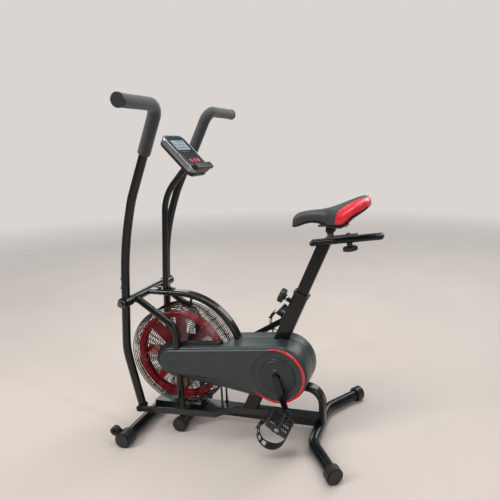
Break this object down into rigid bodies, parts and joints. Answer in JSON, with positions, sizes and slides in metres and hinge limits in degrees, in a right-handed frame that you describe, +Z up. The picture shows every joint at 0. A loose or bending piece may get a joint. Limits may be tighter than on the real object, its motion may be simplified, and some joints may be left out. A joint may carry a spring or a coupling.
{
  "type": "air bike",
  "caption": "Fan exercise bike: crank-driven caged fan, swinging handles with foam grips, console and a saddle that slides and tilts on a pinned post.",
  "frame": {"origin": "on the floor, in the middle of the bike", "axes": "+Z up, the fan end towards -Y, the rider's left towards +X"},
  "size_m": [0.7434, 0.9726, 1.2143],
  "materials": {
    "frame_black": "satin",
    "handle_black": "gloss",
    "cover_plastic": "satin",
    "red_plastic": "gloss",
    "black_plastic": "satin",
    "fan_red": "satin",
    "wire_black": "gloss",
    "plain_steel": "satin",
    "chrome_steel": "polished",
    "crank_paint": "satin",
    "link_paint": "satin",
    "foam": "matte",
    "saddle_cover": "satin",
    "wheel_rubber": "matte",
    "strap_rubber": "matte",
    "silver_plastic": "satin",
    "screen_glass": "gloss"
  },
  "bodies": {
    "frame": {"base_beam": "frame_black", "front_stabilizer": "frame_black", "rear_stabilizer": "frame_black", "fan_cross_tube": "frame_black", "end_caps": "black_plastic", "wheel_brackets": "frame_black", "pivot_tube": "frame_black", "pivot_spindle": "plain_steel", "arch_tube": "frame_black", "stay_left": "frame_black", "stay_right": "frame_black", "seat_tube": "frame_black", "seat_tube_collar": "black_plastic", "bottom_bracket": "frame_black", "crank_bearings": "plain_steel", "rear_arch": "frame_black", "cage_supports": "wire_black", "cover_left": "cover_plastic", "cover_right": "cover_plastic", "cover_trim": "red_plastic", "cover_caps": "black_plastic", "cage_left": "wire_black", "cage_right": "wire_black", "cage_rim": "wire_black", "fan_axle": "plain_steel", "chain": "plain_steel", "console_post": "frame_black", "console_case": "silver_plastic", "console_screen": "screen_glass"},
    "fan": {"fan_ring": "fan_red", "fan_blades": "fan_red", "fan_hub": "plain_steel"},
    "crank": {"crank_axle": "chrome_steel", "crank_arms": "crank_paint", "pedal_axles": "chrome_steel"},
    "link_left": {"link_left": "link_paint"},
    "link_right": {"link_right": "link_paint"},
    "pedal_left": {"pedal_left": "black_plastic", "pedal_strap_left": "strap_rubber"},
    "pedal_right": {"pedal_right": "black_plastic", "pedal_strap_right": "strap_rubber"},
    "handle_left": {"handle_left": "handle_black", "grip_left": "foam", "grip_caps_left": "black_plastic"},
    "handle_right": {"handle_right": "handle_black", "grip_right": "foam", "grip_caps_right": "black_plastic"},
    "wheel_left": {"transport_wheels_left": "wheel_rubber"},
    "wheel_right": {"transport_wheels_right": "wheel_rubber"},
    "button_reset": {"button_reset": "red_plastic"},
    "button_mode": {"button_mode": "red_plastic"},
    "button_set": {"button_set": "red_plastic"},
    "seat_post": {"seat_post": "frame_black", "seat_rail": "frame_black"},
    "slider": {"seat_slider": "plain_steel"},
    "slider_knob": {"slider_knob": "black_plastic"},
    "saddle": {"saddle_clamp": "plain_steel", "saddle_base": "black_plastic", "saddle_pad": "saddle_cover"},
    "seat_pin": {"seat_pin": "black_plastic"}
  },
  "joints": [
    {"name": "handle_left_swing", "type": "hinge", "parent": "frame", "child": "handle_left", "pos_m": [0.131, -0.428, 0.52], "axis": [1, 0, 0], "range_deg": [-15.5, 17]},
    {"name": "handle_right_swing", "type": "hinge", "parent": "frame", "child": "handle_right", "pos_m": [-0.131, -0.428, 0.52], "axis": [1, 0, 0], "range_deg": [-17, 15.5]},
    {"name": "crank_spin", "type": "hinge", "parent": "frame", "child": "crank", "pos_m": [0, 0.118, 0.265], "axis": [1, 0, 0], "continuous": true},
    {"name": "fan_spin", "type": "hinge", "parent": "frame", "child": "fan", "pos_m": [0, -0.294, 0.276], "axis": [1, 0, 0], "continuous": true},
    {"name": "link_left_pivot", "type": "hinge", "parent": "crank", "child": "link_left", "pos_m": [0.114, 0.15294, 0.1346], "axis": [1, 0, 0], "continuous": true},
    {"name": "link_right_pivot", "type": "hinge", "parent": "handle_right", "child": "link_right", "pos_m": [-0.15, -0.39625, 0.10858], "axis": [1, 0, 0], "range_deg": [-15.5, 17]},
    {"name": "pedal_left_spin", "type": "hinge", "parent": "crank", "child": "pedal_left", "pos_m": [0.174, 0.15294, 0.1346], "axis": [1, 0, 0], "continuous": true},
    {"name": "pedal_right_spin", "type": "hinge", "parent": "crank", "child": "pedal_right", "pos_m": [-0.174, 0.08306, 0.3954], "axis": [1, 0, 0], "continuous": true},
    {"name": "wheel_left_spin", "type": "hinge", "parent": "frame", "child": "wheel_left", "pos_m": [0.218, -0.463, 0.054], "axis": [1, 0, 0], "continuous": true},
    {"name": "wheel_right_spin", "type": "hinge", "parent": "frame", "child": "wheel_right", "pos_m": [-0.218, -0.463, 0.054], "axis": [1, 0, 0], "continuous": true},
    {"name": "button_reset_press", "type": "slide", "parent": "frame", "child": "button_reset", "axis": [0, -0.7278, -0.6858], "range_m": [0, 0.0015], "stiffness_N_per_m": 500, "springref_m": -0.001},
    {"name": "button_mode_press", "type": "slide", "parent": "frame", "child": "button_mode", "axis": [0, -0.7278, -0.6858], "range_m": [0, 0.0015], "stiffness_N_per_m": 500, "springref_m": -0.001},
    {"name": "button_set_press", "type": "slide", "parent": "frame", "child": "button_set", "axis": [0, -0.7278, -0.6858], "range_m": [0, 0.0015], "stiffness_N_per_m": 500, "springref_m": -0.001},
    {"name": "seat_post_slide", "type": "slide", "parent": "frame", "child": "seat_post", "axis": [0, 0.4099, 0.9121], "range_m": [-0.15, 0.075]},
    {"name": "seat_pin_pull", "type": "slide", "parent": "frame", "child": "seat_pin", "axis": [0, -0.9121, 0.4099], "range_m": [0, 0.008], "stiffness_N_per_m": 900, "springref_m": -0.004},
    {"name": "saddle_slide", "type": "slide", "parent": "seat_post", "child": "slider", "axis": [0, 0.9905, 0.1374], "range_m": [-0.045, 0.075]},
    {"name": "slider_knob_turn", "type": "hinge", "parent": "slider", "child": "slider_knob", "pos_m": [0, 0.36069, 0.75397], "axis": [0, -0.1374, 0.9905], "continuous": true},
    {"name": "saddle_tilt", "type": "hinge", "parent": "slider", "child": "saddle", "pos_m": [0, 0.2973, 0.786], "axis": [1, 0, 0], "range_deg": [-12, 12]}
  ],
  "couplings": [
    {"joint": "handle_right_swing", "follows": "handle_left_swing", "ratio": -1},
    {"joint": "fan_spin", "follows": "crank_spin", "ratio": 3},
    {"joint": "link_left_pivot", "follows": "crank_spin", "ratio": -1},
    {"joint": "link_right_pivot", "follows": "handle_left_swing", "ratio": 1}
  ]
}
